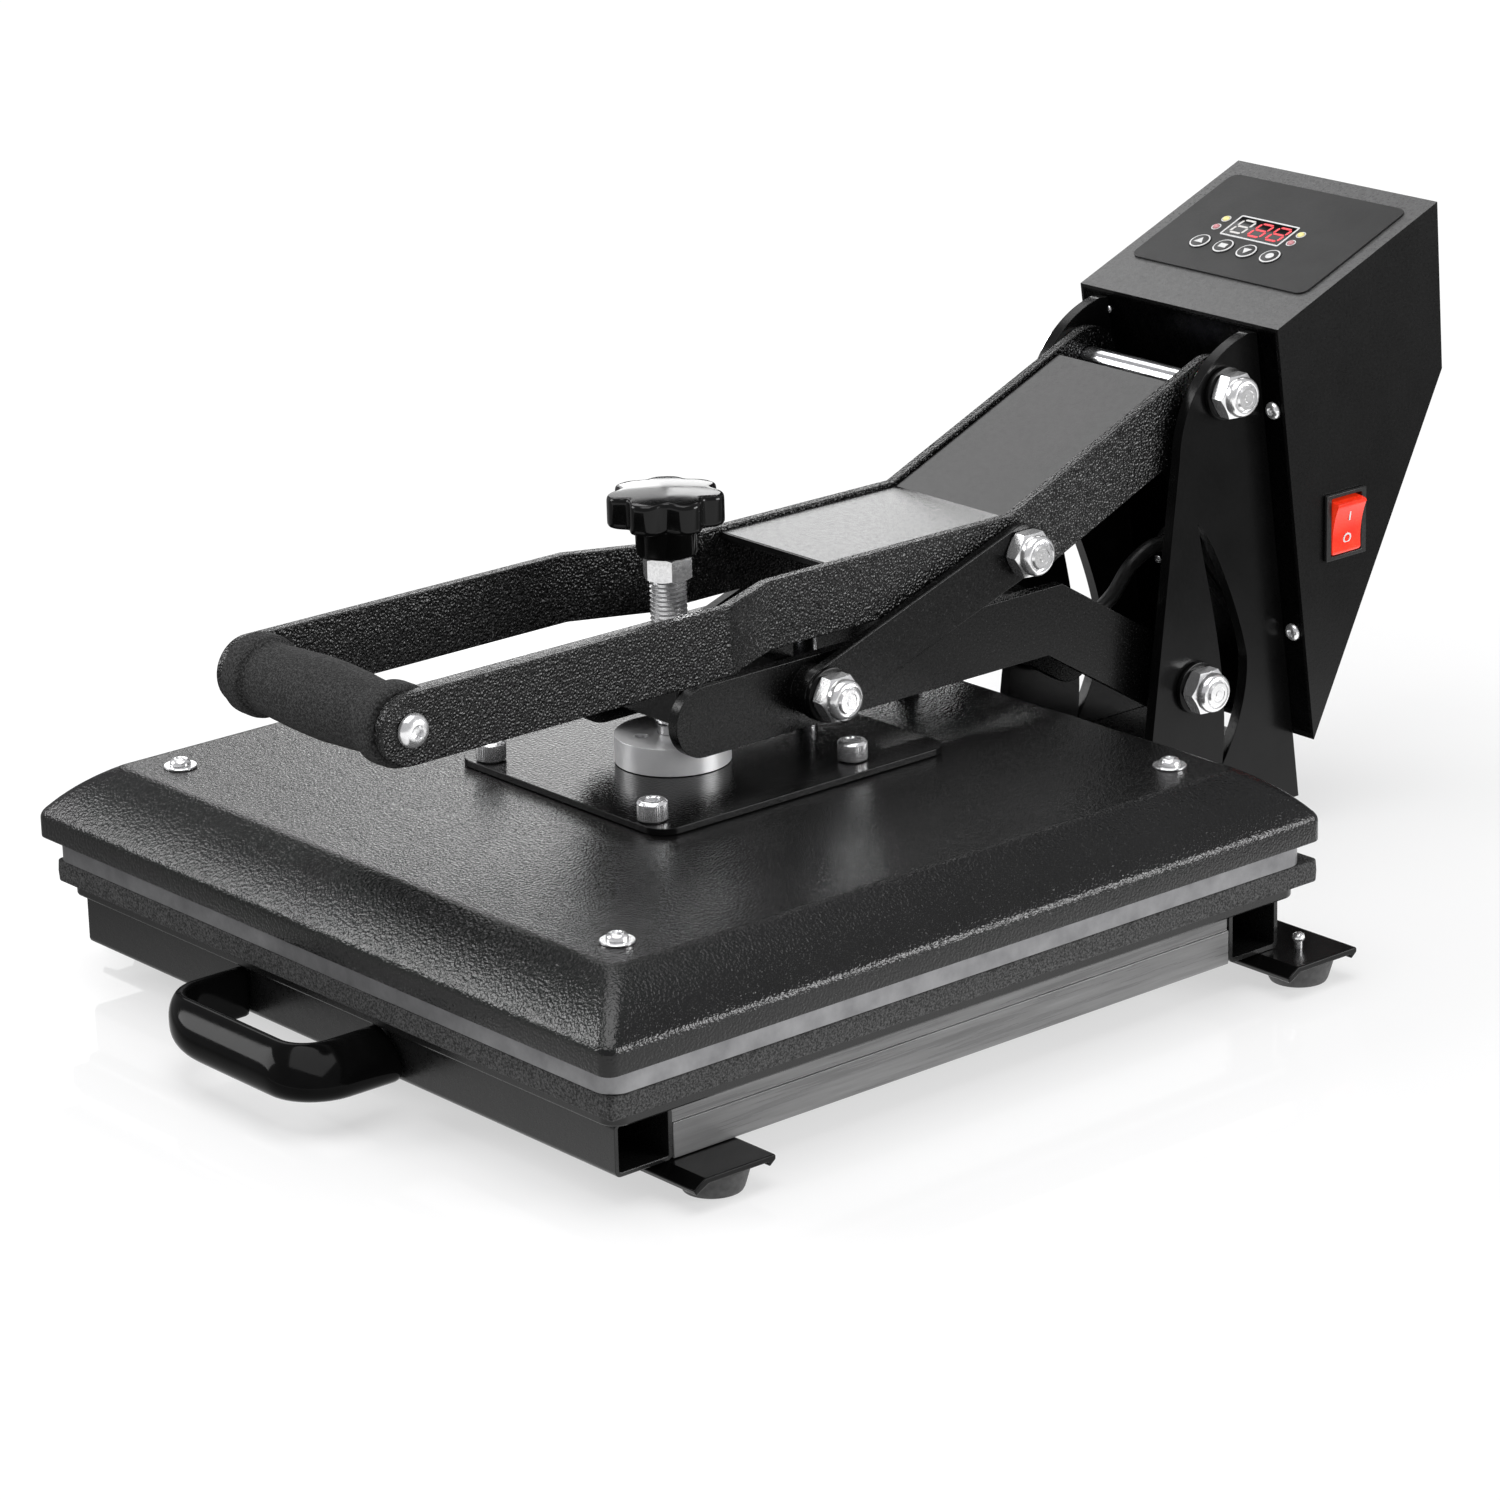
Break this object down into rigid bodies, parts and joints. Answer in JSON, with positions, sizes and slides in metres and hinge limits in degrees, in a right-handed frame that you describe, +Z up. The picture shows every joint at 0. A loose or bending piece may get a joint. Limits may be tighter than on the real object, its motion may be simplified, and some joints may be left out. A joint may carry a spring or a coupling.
{
  "type": "heat press",
  "caption": "Clamshell heat press: square heated platen lowered on a padded bed by a toggle lever, with a screw pressure knob and a rear control box.",
  "frame": {"origin": "on the floor plane, under the middle of the press's bounding box", "axes": "+Z up, -Y to the front where the grip is, +X to the right-hand side seen from the front"},
  "size_m": [0.407, 0.6426, 0.2832],
  "materials": {
    "wrinkle_paint": "coarse wrinkle black powder coat",
    "satin_paint": "satin black powder coat",
    "cover_paint": "semi-gloss black enamel with fine orange peel",
    "zinc": "bright zinc plate",
    "turned_steel": "turned steel",
    "cast_aluminium": "smooth cast aluminium",
    "rubber": "matte rubber",
    "cable_rubber": "matte cable sheath",
    "silicone": "speckled silicone sponge",
    "foam": "fine matte closed-cell foam",
    "nylon": "white nylon",
    "gloss_plastic": "gloss black moulding",
    "switch_red": "translucent red rocker",
    "wool": "woven insulation blanket"
  },
  "bodies": {
    "root": {"front_cross_tube": "satin_paint", "rear_cross_tube": "satin_paint", "side_rail_left": "satin_paint", "side_rail_right": "satin_paint", "rear_channel": "satin_paint", "foot_bar_front": "satin_paint", "foot_bar_rear": "satin_paint", "rubber_foot_front_left": "rubber", "rubber_foot_front_right": "rubber", "rubber_foot_rear_left": "rubber", "rubber_foot_rear_right": "rubber", "bed_plate": "satin_paint", "silicone_pad": "silicone", "carry_handle": "gloss_plastic", "upright_left": "satin_paint", "upright_right": "satin_paint", "upper_pivot_bolt": "zinc", "upper_pivot_nut": "zinc", "lower_pivot_bolt": "zinc", "lower_pivot_nut": "zinc", "nylon_washer_left": "nylon", "nylon_washer_right": "nylon", "box_front_panel": "satin_paint", "box_cover": "satin_paint", "control_fascia": "gloss_plastic", "rocker_bezel": "gloss_plastic", "power_inlet": "gloss_plastic", "cable_gland": "zinc", "heater_cable": "cable_rubber"},
    "lower_arm": {"arm_plate_left": "wrinkle_paint", "arm_plate_right": "wrinkle_paint", "pressure_block": "satin_paint", "link_bolt": "zinc", "link_nut": "zinc"},
    "lever": {"lever_bar_left": "wrinkle_paint", "lever_bar_right": "wrinkle_paint", "lever_top_plate": "satin_paint", "grip_rod": "zinc", "foam_grip": "foam"},
    "links": {"link_left": "wrinkle_paint", "link_right": "wrinkle_paint", "link_pivot_left": "zinc", "link_pivot_right": "zinc"},
    "platen": {"platen_cover": "cover_paint", "insulation_blanket": "wool", "heating_plate": "cast_aluminium", "mount_plate": "cover_paint", "spindle_boss": "turned_steel", "guide_pin": "zinc", "cap_screw_front_left": "zinc", "cap_screw_front_right": "zinc", "cap_screw_rear_left": "zinc", "cap_screw_rear_right": "zinc"},
    "spindle": {"spindle": "zinc", "star_knob": "gloss_plastic"},
    "power_rocker": {"rocker": "switch_red"},
    "key_up": {"key_up": "gloss_plastic"},
    "key_set": {"key_set": "gloss_plastic"},
    "key_down": {"key_down": "gloss_plastic"},
    "key_enter": {"key_enter": "gloss_plastic"}
  },
  "joints": [
    {"name": "arm_swing", "type": "hinge", "parent": "root", "child": "lower_arm", "pos_m": [0, 0.1756, 0.0822], "axis": [-1, 0, 0], "range_deg": [0, 50], "deforming": ["heater_cable"]},
    {"name": "lever_swing", "type": "hinge", "parent": "root", "child": "lever", "pos_m": [0, 0.1931, 0.2154], "axis": [-1, 0, 0], "range_deg": [0, 104]},
    {"name": "link_swing", "type": "hinge", "parent": "lower_arm", "child": "links", "pos_m": [0, -0.0397, 0.1274], "axis": [-1, 0, 0], "range_deg": [-65, 0]},
    {"name": "platen_slide", "type": "slide", "parent": "lower_arm", "child": "platen", "axis": [0, 0, 1], "range_m": [0, 0.006]},
    {"name": "spindle_turn", "type": "hinge", "parent": "platen", "child": "spindle", "pos_m": [0, -0.0868, 0.15], "axis": [0, 0, 1], "range_deg": [0, 1081]},
    {"name": "rocker_tilt", "type": "hinge", "parent": "root", "child": "power_rocker", "pos_m": [0.0613, 0.2572, 0.1445], "axis": [0, 1, 0], "range_deg": [-18, 0]},
    {"name": "key_up_press", "type": "slide", "parent": "root", "child": "key_up", "axis": [0, 0.3698, -0.9291], "range_m": [0, 0.0005], "stiffness_N_per_m": 600},
    {"name": "key_set_press", "type": "slide", "parent": "root", "child": "key_set", "axis": [0, 0.3698, -0.9291], "range_m": [0, 0.0005], "stiffness_N_per_m": 600},
    {"name": "key_down_press", "type": "slide", "parent": "root", "child": "key_down", "axis": [0, 0.3698, -0.9291], "range_m": [0, 0.0005], "stiffness_N_per_m": 600},
    {"name": "key_enter_press", "type": "slide", "parent": "root", "child": "key_enter", "axis": [0, 0.3698, -0.9291], "range_m": [0, 0.0005], "stiffness_N_per_m": 600}
  ],
  "couplings": [
    {"joint": "lever_swing", "follows": "arm_swing", "ratio": 2.0669},
    {"joint": "link_swing", "follows": "arm_swing", "ratio": -1.2893},
    {"joint": "spindle_turn", "follows": "platen_slide", "rad_per_m": 3141.6}
  ]
}
